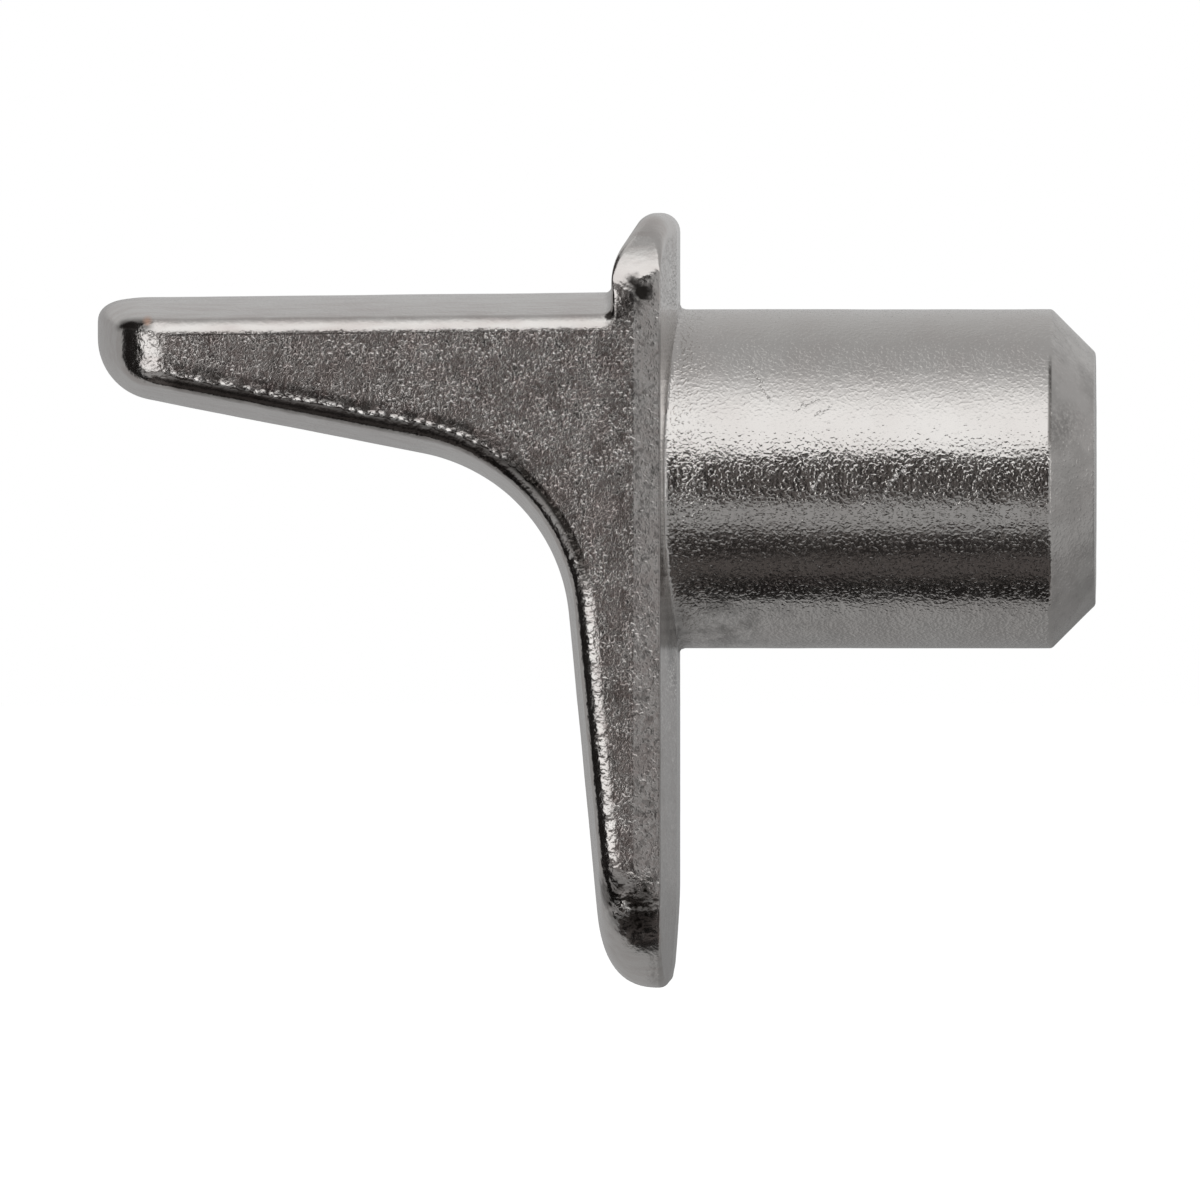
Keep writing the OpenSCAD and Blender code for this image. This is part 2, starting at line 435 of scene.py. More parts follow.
def turned_peg(edge_r):
    """The peg: rings along its flare, its wall and its bevel, with the turned corners rounded."""
    flare = [(-0.3, PEG_R), (-0.2, PEG_R), (-0.1, PEG_R), (0.0, PEG_R), (0.1, PEG_R)]
    profile = flare + turned_profile(flare[-1], edge_r, 0.08)
    n = 200
    angle = np.arange(n) * 2 * math.pi / n
    rings = [np.column_stack([np.full(n, x), r * np.cos(angle), r * np.sin(angle)])
             for x, r in profile]
    last = n * (len(rings) - 1)
    place = np.concatenate(rings + [np.array([(-0.3, 0, 0), (PEG_END, 0, 0)])])
    faces = []
    for k in range(len(rings) - 1):
        for i in range(n):
            a, b = k * n + i, k * n + (i + 1) % n
            faces.append((a, b, b + n, a + n))
    hub = n * len(rings)
    for i in range(n):
        j = (i + 1) % n
        faces.append((hub, j, i))
        faces.append((hub + 1, last + i, last + j))
    return place, faces


def turned_profile(start, edge_r, step):
    """Points (x, r) along the peg: its wall, its bevel and its end, with the corners rounded."""
    corners = [start, (PEG_END - PEG_BEVEL, PEG_R), (PEG_END, PEG_R - PEG_BEVEL), (PEG_END, 0.0)]
    points = [corners[0]]

    def run_to(target, last_step):
        a, b = Vector(points[-1]), Vector(target)
        length = (b - a).length
        places = [length - last_step * 2 ** k for k in range(2, -1, -1)]
        count = max(1, round(places[0] / step))
        stops = [places[0] * (i + 1) / count for i in range(count)] + places[1:] + [length]
        points.extend(tuple(a.lerp(b, s / length)) for s in stops)

    for before, corner_at, after in zip(corners, corners[1:], corners[2:]):
        c = Vector(corner_at)
        u, v = (c - Vector(before)).normalized(), (Vector(after) - c).normalized()
        turn = math.acos(u.dot(v))
        reach = edge_r * math.tan(turn / 2)
        run_to(tuple(c - u * reach), 0.012)
        normal_in = Vector((u.y, -u.x))
        middle = c - u * reach + normal_in * edge_r
        for k in range(1, 5):
            a = turn * k / 4
            points.append(tuple(middle - normal_in * edge_r * math.cos(a)
                                + u * edge_r * math.sin(a)))
    run_to((PEG_END, 0.14), 0.06)
    return points[1:]


def mark_zones(mesh):
    """Stores what the skin differs by: the peg, the grainy sides, the joint and the lower edge."""
    count = len(mesh.vertices)
    place = np.empty(count * 3)
    mesh.vertices.foreach_get("co", place)
    x, y, z = place.reshape(-1, 3).T
    deep, far = np.abs(y), np.hypot(y, z)
    rim = outline_points(HALF_W)
    inside = deep > HALF_W - 1e-4
    gap = edge_distance(x, z, np.vstack([rim, rim[:1]]))
    lower = rim[(rim[:, 1] > -5.2) & (rim[:, 0] < -1.0) & (rim[:, 1] < 1.75)]
    gap_under = edge_distance(x, z, lower)
    on_peg = ease(x, -0.02, 0.1) * (far < 2.75)
    facet = ~inside & (deep > HALF_W - FACET[0] + 1e-3) & (x > -0.59) & (on_peg == 0)
    rounding = ~inside & (x < -0.62) & (on_peg == 0)
    lower_leg = ease(z, -0.8, -2.0)
    grainy = np.where(inside, 1.0, (0.4 + 0.35 * lower_leg) * facet + ease(gap, 0.09, 0.0) * rounding)
    grainy = grainy * ease(z, 2.78, 2.5)
    for name, value in (
        ("peg", on_peg),
        ("side", grainy),
        ("edge_under", np.where(inside, -gap_under, gap_under)),
        ("ragged", rounding * (ease(z, 1.2, 0.4) + 0.8 * ease(x, -7.2, -7.6) + 0.2) * ease(deep, 2.7, 2.9)),
        ("joint", (np.abs(x) < 0.13) * ease(np.abs(far - 2.53), 0.16, 0.05)),
    ):
        layer = mesh.attributes.new(name, "FLOAT", "POINT")
        layer.data.foreach_set("value", np.asarray(value, dtype=np.float32))


def cast_skin_tree(material):
    """Geometry nodes that soften the peg's joint and lay the walls' unevenness on."""
    tree = bpy.data.node_groups.new("Cast skin", "GeometryNodeTree")
    for name, kind in (("Geometry", "NodeSocketGeometry"), ("Joint softening", "NodeSocketInt"),
                       ("Swell", "NodeSocketFloat"), ("Ripple", "NodeSocketFloat"),
                       ("Seed", "NodeSocketFloat")):
        tree.interface.new_socket(name, in_out="INPUT", socket_type=kind)
    tree.interface.new_socket("Geometry", in_out="OUTPUT", socket_type="NodeSocketGeometry")
    given = tree.nodes.new("NodeGroupInput").outputs
    result = tree.nodes.new("NodeGroupOutput")

    position = tree.nodes.new("GeometryNodeInputPosition").outputs[0]
    joint = tree.nodes.new("GeometryNodeInputNamedAttribute")
    joint.inputs["Name"].default_value = "joint"
    blur = tree.nodes.new("GeometryNodeBlurAttribute")
    blur.data_type = "FLOAT_VECTOR"
    soften = tree.nodes.new("GeometryNodeSetPosition")
    link(tree,
         (position, blur.inputs["Value"]),
         (given["Joint softening"], blur.inputs["Iterations"]),
         (joint.outputs[0], blur.inputs["Weight"]),
         (given["Geometry"], soften.inputs["Geometry"]),
         (blur.outputs[0], soften.inputs["Position"]))

    total = tree.nodes.new("ShaderNodeMath")
    for k, (size_mm, detail, amount) in enumerate(((1.4, 1.0, "Swell"), (0.24, 1.5, "Ripple"))):
        wave = tree.nodes.new("ShaderNodeTexNoise")
        wave.noise_dimensions = "4D"
        wave.label = amount
        wave.inputs["Scale"].default_value = 1 / size_mm
        wave.inputs["Detail"].default_value = detail
        centre = tree.nodes.new("ShaderNodeMath")
        centre.operation = "SUBTRACT"
        centre.inputs[1].default_value = 0.5
        height = tree.nodes.new("ShaderNodeMath")
        height.operation = "MULTIPLY"
        link(tree,
             (position, wave.inputs["Vector"]),
             (given["Seed"], wave.inputs["W"]),
             (wave.outputs[0], centre.inputs[0]),
             (centre.outputs[0], height.inputs[0]),
             (given[amount], height.inputs[1]),
             (height.outputs[0], total.inputs[k]))
    push = tree.nodes.new("ShaderNodeVectorMath")
    push.operation = "SCALE"
    uneven = tree.nodes.new("GeometryNodeSetPosition")
    realize = tree.nodes.new("GeometryNodeRealizeInstances")
    smooth = tree.nodes.new("GeometryNodeSetShadeSmooth")
    paint = tree.nodes.new("GeometryNodeSetMaterial")
    paint.inputs["Material"].default_value = material
    link(tree,
         (tree.nodes.new("GeometryNodeInputNormal").outputs[0], push.inputs[0]),
         (total.outputs[0], push.inputs["Scale"]),
         (soften.outputs[0], uneven.inputs["Geometry"]),
         (push.outputs[0], uneven.inputs["Offset"]),
         (uneven.outputs[0], smooth.inputs[0]),
         (smooth.outputs[0], realize.inputs[0]),
         (realize.outputs[0], paint.inputs["Geometry"]),
         (paint.outputs[0], result.inputs[0]))
    return tree


def set_input(modifier, name, value):
    """Sets one of a tree's named inputs by its socket's identifier."""
    for item in modifier.node_group.interface.items_tree:
        if item.item_type == "SOCKET" and item.in_out == "INPUT" and item.name == name:
            modifier[item.identifier] = value
            return
    raise RuntimeError("the tree has no input called " + name)


def evaluated_mesh(obj):
    """The object's mesh with its modifiers applied."""
    graph = bpy.context.evaluated_depsgraph_get()
    return bpy.data.meshes.new_from_object(obj.evaluated_get(graph))


# ---------------------------------------------------------------- the plating


def scratch_group():
    """A shader group: 1 along a short straight mark on the near side, falling to 0 beside it."""
    tree = bpy.data.node_groups.new("Mark", "ShaderNodeTree")
    for name, kind in (("Place", "NodeSocketVector"), ("From", "NodeSocketVector"),
                       ("To", "NodeSocketVector"), ("Width", "NodeSocketFloat")):
        tree.interface.new_socket(name, in_out="INPUT", socket_type=kind)
    tree.interface.new_socket("Depth", in_out="OUTPUT", socket_type="NodeSocketFloat")
    given = tree.nodes.new("NodeGroupInput").outputs
    r = Recipe(tree)
    way = r.vector("SUBTRACT", given["To"], given["From"])
    out = r.vector("SUBTRACT", given["Place"], given["From"])
    along = r.math("DIVIDE", r.vector("DOT_PRODUCT", out, way, "Value"),
                   r.vector("DOT_PRODUCT", way, way, "Value"))
    along = r.span(along, 0.0, 1.0)
    foot = r.value("ShaderNodeVectorMath", {0: way, "Scale": along}, 0, operation="SCALE")
    gap = r.vector("LENGTH", r.vector("SUBTRACT", out, foot), out="Value")
    share = r.math("DIVIDE", gap, given["Width"])
    depth = r.span(share, 1.0, 0.0, smooth=True)
    result = tree.nodes.new("NodeGroupOutput")
    link(tree, (depth, result.inputs[0]))
    return tree


# short marks on the near side, in millimetres: x and z of both ends, width, height
MARKS = (
    (1.09, 1.66, 1.22, 1.48, 0.030, -0.008),
    (1.22, 1.48, 1.29, 1.32, 0.028, -0.008),
    (1.29, 1.32, 1.38, 1.19, 0.030, 0.010),
    (3.41, 0.22, 3.33, 0.10, 0.030, 0.016),
    (3.33, 0.10, 3.18, -0.01, 0.026, 0.016),
    (3.18, -0.01, 3.06, -0.27, 0.030, 0.014),
    (2.16, 0.06, 2.01, -0.16, 0.030, 0.014),
    (1.75, 1.02, 2.12, 1.20, 0.022, -0.006),
    (2.02, 0.92, 2.30, 1.10, 0.022, -0.006),
    (-0.66, -5.74, -0.30, -5.93, 0.022, 0.008),
    (-0.40, -5.66, -0.52, -6.02, 0.020, 0.008),
    (-0.60, -5.98, -0.34, -5.78, 0.018, 0.006),
)


def nickel_plating(look):
    """Bright nickel over a cast skin: grain, a raised rim, pits, marks and a faint stain, with painted
    shade and painted dark reflections in places.
    """
    material = bpy.data.materials.new("nickel_plate")
    tree = clear_tree(material)
    r = Recipe(tree)
    place = r.value("ShaderNodeTexCoord", {}, "Object")
    side = r.attribute("side")
    flat_place = r.vector("MULTIPLY", place, (1, 0, 1))
    at_x, at_y, at_z = (r.value("ShaderNodeSeparateXYZ", {0: place}, k) for k in range(3))
    near = r.span(at_y, -0.1 * MM, -0.3 * MM)
    on_side = r.span(at_y, -2.5 * MM, -2.7 * MM)
    from_axis = r.vector("LENGTH", r.vector("MULTIPLY", place, (0, 1, 1)), out="Value")
    peg = r.times(r.span(at_x, -0.17 * MM, -0.09 * MM), r.span(from_axis, 3.7 * MM, 3.2 * MM))
    root = r.times(r.span(at_x, 0.75 * MM, 0.15 * MM, smooth=True), peg)
    foot = r.times(r.span(at_z, -5.65 * MM, -6.1 * MM, smooth=True),
                   r.span(at_z, -7.3 * MM, -6.9 * MM, smooth=True))
    foot = r.times(foot, r.span(at_x, -0.15 * MM, -0.3 * MM))
    bevel = r.times(peg, r.span(at_x, 5.50 * MM, 5.54 * MM))

    # the side faces carry a sharp grain with pits, and the peg a finer one, coarsest at its root
    grain = r.noise(place, 0.062, 2.0, 0.6)
    fleck = r.noise(place, 0.045, 1.0)
    flow = r.noise(place, 0.068, 1.5, 0.55)
    wave = r.noise(place, 0.42, 2.0)
    patch = r.noise(place, 1.1, 2.0)
    cluster = r.span(r.noise(place, 0.34, 2.0), 0.40, 0.64, 0.65, 1.7)
    many = r.span(patch, 0.35, 0.65, -0.03, 0.03)
    pits = r.span(r.add(r.noise(place, 0.062, 1.0), many), 0.58, 0.72, smooth=True)
    side_height = r.times(r.add(r.about_zero(grain), r.times(r.about_zero(fleck), 0.35)),
                          look.side_grain)
    few = r.span(r.noise(place, 0.047, 0.5), 0.59, 0.82)
    dots = r.span(r.noise(r.vector("ADD", place, (0.01, 0, 0)), 0.046, 0.5), 0.50, 0.80)
    few = r.times(few, r.span(cluster, 0.6, 1.2, 0.55, 1.0))
    side_height = r.add(r.times(side_height, cluster), r.times(pits, -look.pit_depth),
                        r.times(r.times(few, cluster), look.speck))
    peg_height = r.add(r.times(r.about_zero(flow), 0.6), r.times(dots, 0.45))
    coarse = r.add(1.0, r.times(root, 0.8), r.times(bevel, 0.4))
    peg_height = r.times(peg_height, r.times(coarse, look.peg_grain))
    wall_height = r.times(r.about_zero(flow), look.wall_grain)
    wall_share = r.math("SUBTRACT", 1.0, r.math("MAXIMUM", side, peg))
    ragged = r.attribute("ragged")
    rags = r.times(r.about_zero(r.noise(place, 0.13, 2.0)), r.times(ragged, look.rag))
    lip_front = r.times(r.span(at_z, 2.35 * MM, 2.6 * MM), r.span(at_z, 3.3 * MM, 3.0 * MM))
    uneven = r.times(r.add(r.times(foot, 0.06), r.times(lip_front, 0.012)), on_side)
    lumps = r.times(r.about_zero(r.noise(place, 0.27, 2.5)), uneven)
    skin = r.add(lumps, r.times(side_height, side), r.times(peg_height, peg),
                 r.times(wall_height, wall_share), r.times(r.about_zero(wave), 0.010), rags)

    # a chain of small round grains stands along the lower edge of each side face
    edge = r.attribute("edge_under")
    ragged_edge = r.add(edge, r.times(r.about_zero(r.noise(place, 0.17, 2.0)), 0.10))
    band = r.math("MINIMUM", r.span(ragged_edge, 0.02, 0.095), r.span(ragged_edge, 0.125, 0.10))
    along_arm = r.times(r.span(at_x, -1.75 * MM, -2.5 * MM), r.span(at_x, -7.5 * MM, -7.3 * MM))
    band = r.times(band, along_arm)
    cells = r.value("ShaderNodeTexVoronoi", {"Vector": place, "Scale": 1 / (0.085 * MM)}, 0)
    bead = r.times(r.span(cells, 0.74, 0.08, 0.15, 1.0), band)
    bead = r.times(bead, r.span(r.noise(place, 0.28, 1.0), 0.36, 0.52, 0.4, 1.0))
    # painted shade: a dark band along the inner side of the chain, in patches
    beside = r.math("MINIMUM", r.span(edge, -0.16, -0.04, smooth=True),
                    r.span(edge, 0.07, 0.02, smooth=True))
    beside = r.times(r.times(beside, along_arm), r.span(r.noise(place, 0.24, 2.0), 0.36, 0.54, 0.2, 1.0))

    # pits and marks
    marks = scratch_group()
    wobble = r.value("ShaderNodeTexNoise", {"Vector": place, "Scale": 1 / (0.09 * MM), "Detail": 1.0}, 1)
    wobble = r.vector("MULTIPLY", r.vector("SUBTRACT", wobble, (0.5, 0.5, 0.5)),
                      (0.14 * MM, 0, 0.14 * MM))
    mark_place = r.vector("ADD", flat_place, wobble)
    worn = r.times(near, r.span(fleck, 0.35, 0.6))
    total = r.add(skin, r.times(bead, look.bead))

    def mark_between(x0, z0, x1, z1, width):
        mark = tree.nodes.new("ShaderNodeGroup")
        mark.node_tree = marks
        mark.inputs["From"].default_value = (x0 * MM, 0, z0 * MM)
        mark.inputs["To"].default_value = (x1 * MM, 0, z1 * MM)
        mark.inputs["Width"].default_value = width * MM
        link(tree, (mark_place, mark.inputs["Place"]))
        return mark.outputs[0]

    for *ends, height in MARKS:
        total = r.add(total, r.times(r.times(mark_between(*ends), worn), height))
    to_pit = r.vector("DISTANCE", mark_place, (-0.46 * MM, 0, 2.77 * MM), out="Value")
    pit = r.times(r.span(to_pit, 0.19 * MM, 0.08 * MM, smooth=True), on_side)
    pit = r.math("MAXIMUM", pit, r.times(mark_between(-0.60, 2.92, -0.47, 2.74, 0.16), on_side))
    smear = r.times(mark_between(-0.54, 2.68, -0.82, 2.40, 0.26), on_side)
    smear = r.times(smear, r.span(grain, 0.72, 0.46))
    to_dome = r.vector("DISTANCE", mark_place, (-0.76 * MM, 0, -6.29 * MM), out="Value")
    dome = r.times(r.span(to_dome, 0.13 * MM, 0.03 * MM, smooth=True), on_side)
    total = r.add(total, r.times(pit, -0.005), r.times(dome, 0.045))
    # painted dark reflection: a thin line along the edge where the peg's wall meets its bevel, on the upper
    # near side
    painted_dark_bevel_line = r.math("ABSOLUTE", r.add(at_x, -5.50 * MM))
    painted_dark_bevel_line = r.times(r.times(r.span(painted_dark_bevel_line, 0.035 * MM, 0.01 * MM), peg), near)
    painted_dark_bevel_line = r.times(painted_dark_bevel_line, r.times(r.span(at_z, 0.35 * MM, 0.6 * MM), r.span(at_z, 1.85 * MM, 1.6 * MM)))
    bump = r.value("ShaderNodeBump", {"Height": total, "Strength": 1.0, "Distance": MM})

    strip = r.times(r.span(at_x, -0.60 * MM, -0.57 * MM), r.span(at_x, -0.21 * MM, -0.24 * MM))
    strip = r.times(strip, r.times(on_side, r.span(at_z, 2.5 * MM, 2.3 * MM)))
    dents = r.times(r.span(r.noise(place, 0.10, 1.5), 0.56, 0.66), strip)
    low = r.times(r.math("SUBTRACT", r.span(grain, 0.54, 0.36), few), side)
    colour = r.mix(r.times(side, 0.12), tuple(look.nickel), tuple(look.stain))
    colour = r.mix(r.times(low, 0.55), colour, tuple(look.stain))
    colour = r.mix(r.times(r.times(few, side), 0.8), colour, tuple(look.nickel))
    colour = r.mix(r.times(r.times(pits, side), 0.6), colour, tuple(look.soot_and_shade))
    colour = r.mix(r.times(r.span(patch, 0.4, 0.65), 0.12), colour, tuple(look.stain))
    streak = r.noise(r.vector("MULTIPLY", place, (0.25, 1, 1)), 0.16, 2.0)
    colour = r.mix(r.times(r.times(r.span(streak, 0.4, 0.65), wall_share), 0.25), colour,
                   tuple(look.stain))
    # the beads get a paler metal than the plating: a painted glint on top of their real reflections
    colour = r.mix(r.times(bead, 0.9), colour, (0.86, 0.84, 0.82))
    # painted shade in the inner bend where the arm's underside turns into the leg
    turn = r.math("MINIMUM", r.span(edge, 0.0, 0.03), r.span(edge, 0.16, 0.12))
    turn = r.times(r.times(turn, r.span(at_x, -2.7 * MM, -2.2 * MM)), r.span(at_z, -1.7 * MM, -1.2 * MM))
    colour = r.mix(r.times(turn, 0.95), colour, tuple(look.soot_and_shade))
    # painted shade in the gaps between the beads and beside the chain, and a painted dark reflection along
    # the arm's underside
    between = r.times(r.span(band, 0.1, 0.5), r.span(cells, 0.5, 0.7))
    under = r.times(r.span(ragged_edge, 0.10, 0.13), r.span(ragged_edge, 0.34, 0.24))
    beside = r.math("MAXIMUM", r.times(beside, 1.2), r.math("MAXIMUM", between, r.times(under, along_arm)))
    colour = r.mix(r.times(beside, 0.65), colour, tuple(look.soot_and_shade))
    # painted shade: a thin dark line along the crease where the back meets the narrow facet, below the lip
    crease = r.math("ABSOLUTE", r.add(at_x, 0.205 * MM))
    crease = r.times(r.times(r.span(crease, 0.026 * MM, 0.008 * MM), r.span(at_z, 2.4 * MM, 2.2 * MM)),
                     r.span(at_y, -2.80 * MM, -2.87 * MM))
    cloud = r.noise(place, 0.5, 3.0, 0.6)
    blotch = r.times(r.span(r.noise(place, 0.26, 2.0), 0.53, 0.62), side)
    colour = r.mix(r.times(blotch, 0.35), colour, tuple(look.stain))
    smudge = r.times(r.times(peg, r.span(at_z, -1.55 * MM, -1.9 * MM)),
                     r.times(r.span(at_x, 2.6 * MM, 0.6 * MM), r.span(cloud, 0.46, 0.6)))
    worn_bevel = r.times(r.times(bevel, r.span(cloud, 0.42, 0.62)), 0.6)
    to_dark = r.vector("DISTANCE", mark_place, (5.66 * MM, 0, 0.80 * MM), out="Value")
    worn_bevel = r.add(worn_bevel, r.times(r.times(r.span(to_dark, 0.45 * MM, 0.1 * MM), bevel),
                                           r.times(r.span(grain, 0.62, 0.42), near)))
    # painted shade on the near side of the tip's upper corner, where it darkens part of the highlight
    painted_dark_tip_corner = r.times(r.span(at_x, -7.60 * MM, -7.72 * MM), r.span(at_z, 2.17 * MM, 2.25 * MM))
    painted_dark_tip_corner = r.times(r.times(painted_dark_tip_corner, r.span(at_z, 2.41 * MM, 2.33 * MM)), on_side)
    # painted dark reflection in patches on the near side of the foot, kept off the raised dome
    painted_dark_foot = r.times(r.span(at_z, -5.68 * MM, -5.86 * MM), r.span(at_z, -6.85 * MM, -6.55 * MM))
    painted_dark_foot = r.times(r.times(painted_dark_foot, r.span(at_x, -0.22 * MM, -0.4 * MM)),
                         r.times(on_side, r.span(cloud, 0.34, 0.47)))
    painted_dark_foot = r.times(painted_dark_foot, r.math("SUBTRACT", 1.0, dome))
    # real dents, smudges and bevel wear together with the painted shade and dark reflections above, mixed
    # towards soot
    dirt_and_painted_shade = r.add(r.times(dents, 0.4), r.times(crease, 0.45), r.times(smudge, 0.4), r.times(worn_bevel, 0.3),
                 r.times(painted_dark_foot, 0.68), r.times(painted_dark_bevel_line, 0.8), r.times(painted_dark_tip_corner, 0.75))
    colour = r.mix(dirt_and_painted_shade, colour, tuple(look.soot_and_shade))
    # painted shade: the lip's pit is painted near black, and the smear below it is darkened with it
    colour = r.mix(r.math("MAXIMUM", r.times(pit, 0.97), r.times(smear, 0.8)), colour,
                   (0.02, 0.017, 0.015))
    to_spot = r.vector("DISTANCE", flat_place, (-7.72 * MM, 0, 2.35 * MM), out="Value")
    colour = r.mix(r.times(r.span(to_spot, 0.09 * MM, 0.02 * MM), r.times(on_side, 0.7)), colour,
                   tuple(look.copper))
    to_heel = r.vector("DISTANCE", flat_place, (-0.12 * MM, 0, -6.72 * MM), out="Value")
    colour = r.mix(r.times(r.span(to_heel, 0.14 * MM, 0.04 * MM), r.times(on_side, 0.35)), colour,
                   tuple(look.copper))
    roughness = r.span(wave, 0.35, 0.65, look.wall_roughness - 0.02, look.wall_roughness + 0.03)
    roughness = r.add(roughness, r.times(side, look.side_roughness - look.wall_roughness),
                      r.times(pit, 0.2), r.times(bead, -0.12), r.times(bevel, 0.09),
                      r.times(peg, -0.03))

    shader = tree.nodes.new("ShaderNodeBsdfPrincipled")
    shader.inputs["Metallic"].default_value = 1.0
    out = tree.nodes.new("ShaderNodeOutputMaterial")
    link(tree,
         (colour, shader.inputs["Base Color"]),
         (roughness, shader.inputs["Roughness"]),
         (bump, shader.inputs["Normal"]),
         (shader.outputs[0], out.inputs["Surface"]))
    return material


class PIN_OT_casting(bpy.types.Operator):
    """Builds the plated casting over its CAD solid"""

    bl_idname = "shelf_pin.casting"
    bl_label = "Build the casting"

    def execute(self, context):
        look = context.scene.casting_settings
        cast = bpy.data.meshes.new("shelf_pin")
        points, faces = cast_body()
        cast.from_pydata(points, [], faces)
        turned = bpy.data.meshes.new("turned_peg")
        points, faces = turned_peg(look.peg_edge)
        turned.from_pydata(points, [], faces)
        peg = bpy.data.objects.new("turned_peg", turned)
        piece = bpy.data.objects.new("shelf_pin_casting", cast)
        context.scene.collection.objects.link(peg)
        context.scene.collection.objects.link(piece)
        union = piece.modifiers.new("Peg", "BOOLEAN")
        union.operation = "UNION"
        union.solver = "EXACT"
        union.object = peg
        piece.data = evaluated_mesh(piece)
        piece.modifiers.clear()
        bpy.data.objects.remove(peg)
        if max(v.co.x for v in piece.data.vertices) < PEG_END - 0.01:
            raise RuntimeError("the peg didn't join the casting")
        mark_zones(piece.data)

        skin = piece.modifiers.new("Cast skin", "NODES")
        skin.node_group = cast_skin_tree(nickel_plating(context.scene.plating_settings))
        set_input(skin, "Joint softening", look.soft_rounds)
        set_input(skin, "Swell", look.swell)
        set_input(skin, "Ripple", look.ripple)
        set_input(skin, "Seed", look.seed)
        finished = evaluated_mesh(piece)
        piece.modifiers.clear()
        piece.data = finished
        bm = bmesh.new()
        bm.from_mesh(finished)
        bmesh.ops.scale(bm, vec=(MM, MM, MM), verts=bm.verts)
        bm.to_mesh(finished)
        bm.free()
        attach(piece, "root")
        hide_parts(NODE)
        return {"FINISHED"}


# ---------------------------------------------------------------- the studio


def glow(name, level, tint):
    """A card that glows evenly, and fades out where its cover attribute falls to nothing."""
    material = bpy.data.materials.new(name)
    tree = clear_tree(material)
    r = Recipe(tree)
    light = tree.nodes.new("ShaderNodeEmission")
    light.inputs["Color"].default_value = (*tint, 1)
    light.inputs["Strength"].default_value = level
    clear = tree.nodes.new("ShaderNodeBsdfTransparent")
    mix = tree.nodes.new("ShaderNodeMixShader")
    out = tree.nodes.new("ShaderNodeOutputMaterial")
    link(tree,
         (r.attribute("cover"), mix.inputs[0]),
         (clear.outputs[0], mix.inputs[1]),
         (light.outputs[0], mix.inputs[2]),
         (mix.outputs[0], out.inputs["Surface"]))
    return material


def card(context, name, turn, lift, radius, level, fade=(0, 0, 0, 0), tint=(1, 1, 1)):
    """A curved card round the piece, over a range of turns and lifts in degrees.

    Turn 0 is the camera's side and 90 the peg's end. fade gives how many degrees each edge takes
    to fade in: left, right, bottom and top.
    """
    centre = Vector(context.scene.studio_settings.aim)
    across = max(2, math.ceil((turn[1] - turn[0]) / 2.5))
    up = max(2, math.ceil((lift[1] - lift[0]) / 2.5))
    points, cover, faces = [], [], []
    for j in range(up + 1):
        e = lift[0] + (lift[1] - lift[0]) * j / up
        for i in range(across + 1):
            a = turn[0] + (turn[1] - turn[0]) * i / across
            ra, re = math.radians(a), math.radians(e)
            points.append(centre + radius * Vector(
                (math.sin(ra) * math.cos(re), -math.cos(ra) * math.cos(re), math.sin(re))))
            share = 1.0
            for gap, width in zip((a - turn[0], turn[1] - a, e - lift[0], lift[1] - e), fade):
                if width:
                    share *= float(ease(gap, 0, width))
            cover.append(share)
    for j in range(up):
        for i in range(across):
            k = j * (across + 1) + i
            faces.append((k, k + 1, k + across + 2, k + across + 1))
    mesh = bpy.data.meshes.new(name)
    mesh.from_pydata(points, [], faces)
    mesh.attributes.new("cover", "FLOAT", "POINT").data.foreach_set("value", cover)
    mesh.materials.append(glow(name, level, tint))
    obj = bpy.data.objects.new(name, mesh)
    context.scene.collection.objects.link(obj)
    obj.visible_camera = False


def floor_paint():
    """A pale floor that shows white to the camera and still takes the piece's shadow."""
    material = bpy.data.materials.new("floor")
    tree = clear_tree(material)
    r = Recipe(tree)
    paint = tree.nodes.new("ShaderNodeBsdfDiffuse")
    paint.inputs["Color"].default_value = (0.82, 0.82, 0.82, 1)
    lift = tree.nodes.new("ShaderNodeEmission")
    seen = r.value("ShaderNodeLightPath", {}, "Is Camera Ray")
    both = tree.nodes.new("ShaderNodeAddShader")
    out = tree.nodes.new("ShaderNodeOutputMaterial")
    link(tree,
         (r.times(seen, 0.62), lift.inputs["Strength"]),
         (paint.outputs[0], both.inputs[0]),
         (lift.outputs[0], both.inputs[1]),
         (both.outputs[0], out.inputs["Surface"]))
    return material


def white_world(context):
    """A world that is white where it is seen, directly or in metal, and plain grey as light."""
    world = bpy.data.worlds.new("studio")
    context.scene.world = world
    tree = clear_tree(world)
    r = Recipe(tree)
    path = [r.value("ShaderNodeLightPath", {}, "Is %s Ray" % kind)
            for kind in ("Camera", "Glossy", "Transmission")]
    seen = r.math("MAXIMUM", r.math("MAXIMUM", path[0], path[1]), path[2])
    back = tree.nodes.new("ShaderNodeBackground")
    back.inputs["Color"].default_value = (1, 1, 1, 1)
    out = tree.nodes.new("ShaderNodeOutputWorld")
    link(tree,
         (r.span(seen, 0, 1, 0.5, 1.0), back.inputs["Strength"]),
         (back.outputs[0], out.inputs["Surface"]))


def place_camera(context, studio):
    a, e = studio.azimuth, studio.elevation
    towards = Vector((math.sin(a) * math.cos(e), -math.cos(a) * math.cos(e), math.sin(e)))
    data = bpy.data.cameras.new("camera")
    data.sensor_width = 36.0
    data.lens = data.sensor_width * studio.distance / studio.frame_width
    data.clip_start = 0.01
    data.clip_end = 10.0
    camera = bpy.data.objects.new("camera", data)
    context.scene.collection.objects.link(camera)
    camera.location = Vector(studio.aim) + towards * studio.distance
    camera.rotation_euler = (-towards).to_track_quat("-Z", "Y").to_euler()
    context.scene.camera = camera


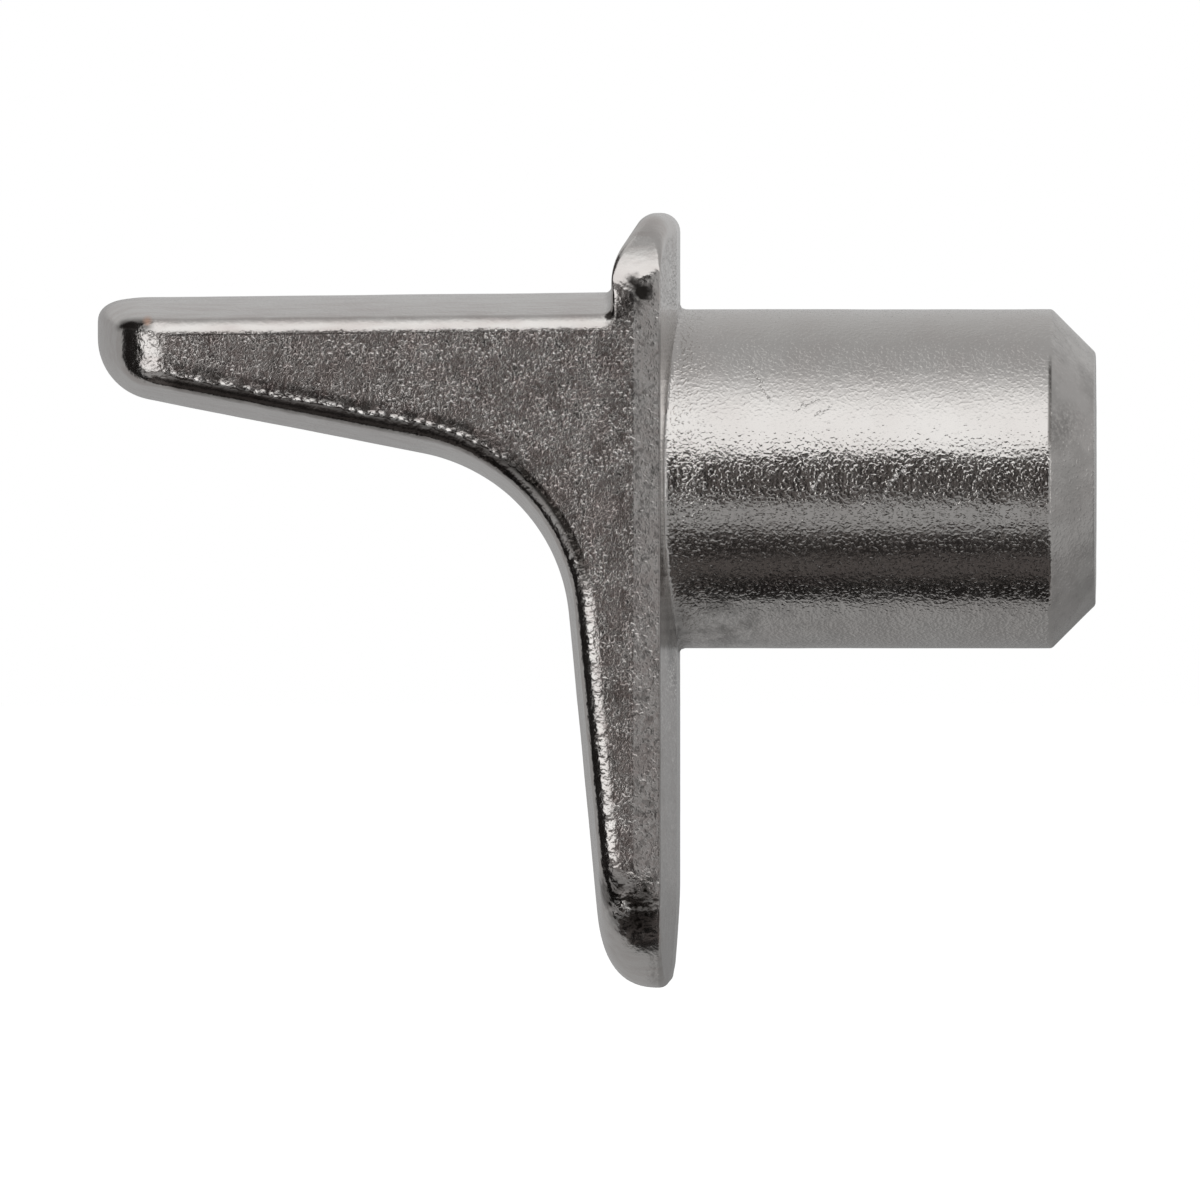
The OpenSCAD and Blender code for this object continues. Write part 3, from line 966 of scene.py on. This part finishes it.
class PIN_OT_studio(bpy.types.Operator):
    """Places the camera, the floor and the soft boxes and cards round the piece"""

    bl_idname = "shelf_pin.studio"
    bl_label = "Build the studio"

    def execute(self, context):
        studio = context.scene.studio_settings
        place_camera(context, studio)
        context.scene.view_settings.view_transform = "Standard"
        white_world(context)
        box, grey = studio.soft_box, studio.surround
        dim = (1.0, 0.90, 0.86)
        card(context, "walls_high", (-180, 180), (0, 90), 0.80, grey)
        card(context, "walls_low", (-180, 180), (-90, 0), 0.80, grey * 0.88)
        card(context, "window_back", (118, 290), (0, 84), 0.77, grey * 1.28, (30, 30, 0, 56))
        card(context, "ceiling_left", (-150, -30), (62, 88), 0.65, grey * 1.45, (15, 15, 8, 4))
        card(context, "corner_back_low", (95, 184), (-88, 0), 0.74, grey * 0.58, (20, 4, 0, 2))
        card(context, "dark_front", (-100, 22), (-90, 18), 0.71, 0.022, (16, 8, 0, 0), dim)
        card(context, "dim_front", (-60, 1.5), (-45, 16), 0.705, 0.11, (10, 2, 8, 1), dim)
        card(context, "dark_left", (-96, -38), (-60, 17), 0.70, 0.012, (14, 6, 10, 1), dim)
        card(context, "wall_left_high", (-180, -120), (6, 75), 0.76, grey * 1.25, (10, 10, 10, 20))
        card(context, "table_cover", (22, 95), (-90, -30), 0.71, 0.05, (0, 20, 0, 8), dim)
        card(context, "table_edge", (-60, 100), (-37, -14.5), 0.68, 0.40, (10, 10, 9, 2))
        card(context, "table_glint", (-100, 100), (-72, -50), 0.66, 0.10, (10, 10, 8, 8), dim)
        card(context, "table_gap", (-90, 90), (-89, -72), 0.64, 0.012, (5, 5, 0, 6), dim)
        card(context, "table_end", (-180, 180), (-90, -87.5), 0.63, 0.03, (0, 0, 0, 1), dim)
        card(context, "dark_left_high", (-125, -38), (16, 66), 0.66, 0.05, (8, 8, 1, 14), dim)
        card(context, "soft_box_top", (-45, 75), (17, 86), 0.62, box, (12, 12, 1.5, 44))
        card(context, "soft_box_left", (-42.5, -10), (-8, 10), 0.60, box * 1.2, (3, 3, 4, 2))
        card(context, "strip_light_right", (48, 62), (-14, 14), 0.60, box, (4, 4, 6, 6))
        card(context, "card_left_low", (-180, -95), (-60, 20), 0.60, grey * 0.90, (8, 10, 10, 10))
        card(context, "corner_back_left", (180, 215), (-60, 0), 0.73, grey * 0.72, (4, 8, 10, 10))

        mesh = bpy.data.meshes.new("floor")
        r = 0.5
        ring = [(r * math.cos(k * math.pi / 32), r * math.sin(k * math.pi / 32), studio.floor_drop)
                for k in range(64)]
        mesh.from_pydata(ring, [], [tuple(range(64))])
        mesh.materials.append(floor_paint())
        floor = bpy.data.objects.new("floor", mesh)
        context.scene.collection.objects.link(floor)
        floor.visible_glossy = False
        return {"FINISHED"}


# ---------------------------------------------------------------- the add-on


class PIN_PT_panel(bpy.types.Panel):
    """Sizes, colours and buttons that build the shelf pin and its studio"""

    bl_idname = "PIN_PT_panel"
    bl_label = "Shelf support pin"
    bl_space_type = "VIEW_3D"
    bl_region_type = "UI"
    bl_category = "Shelf pin"

    def draw(self, context):
        scene = context.scene
        for group, operator in (
            (scene.casting_settings, None),
            (scene.plating_settings, "shelf_pin.casting"),
            (scene.studio_settings, "shelf_pin.studio"),
        ):
            box = self.layout.box()
            for key in group.__annotations__:
                box.prop(group, key)
            if operator:
                box.operator(operator)


GROUPS = {
    "casting_settings": CastingSettings,
    "plating_settings": PlatingSettings,
    "studio_settings": StudioSettings,
}
CLASSES = (*GROUPS.values(), PIN_OT_casting, PIN_OT_studio, PIN_PT_panel)


def register():
    for cls in CLASSES:
        bpy.utils.register_class(cls)
    for name, group in GROUPS.items():
        setattr(bpy.types.Scene, name, bpy.props.PointerProperty(type=group))


def unregister():
    for name in GROUPS:
        delattr(bpy.types.Scene, name)
    for cls in reversed(CLASSES):
        bpy.utils.unregister_class(cls)


def main():
    register()
    bpy.ops.shelf_pin.casting()
    bpy.ops.shelf_pin.studio()


if __name__ == "__main__":
    main()
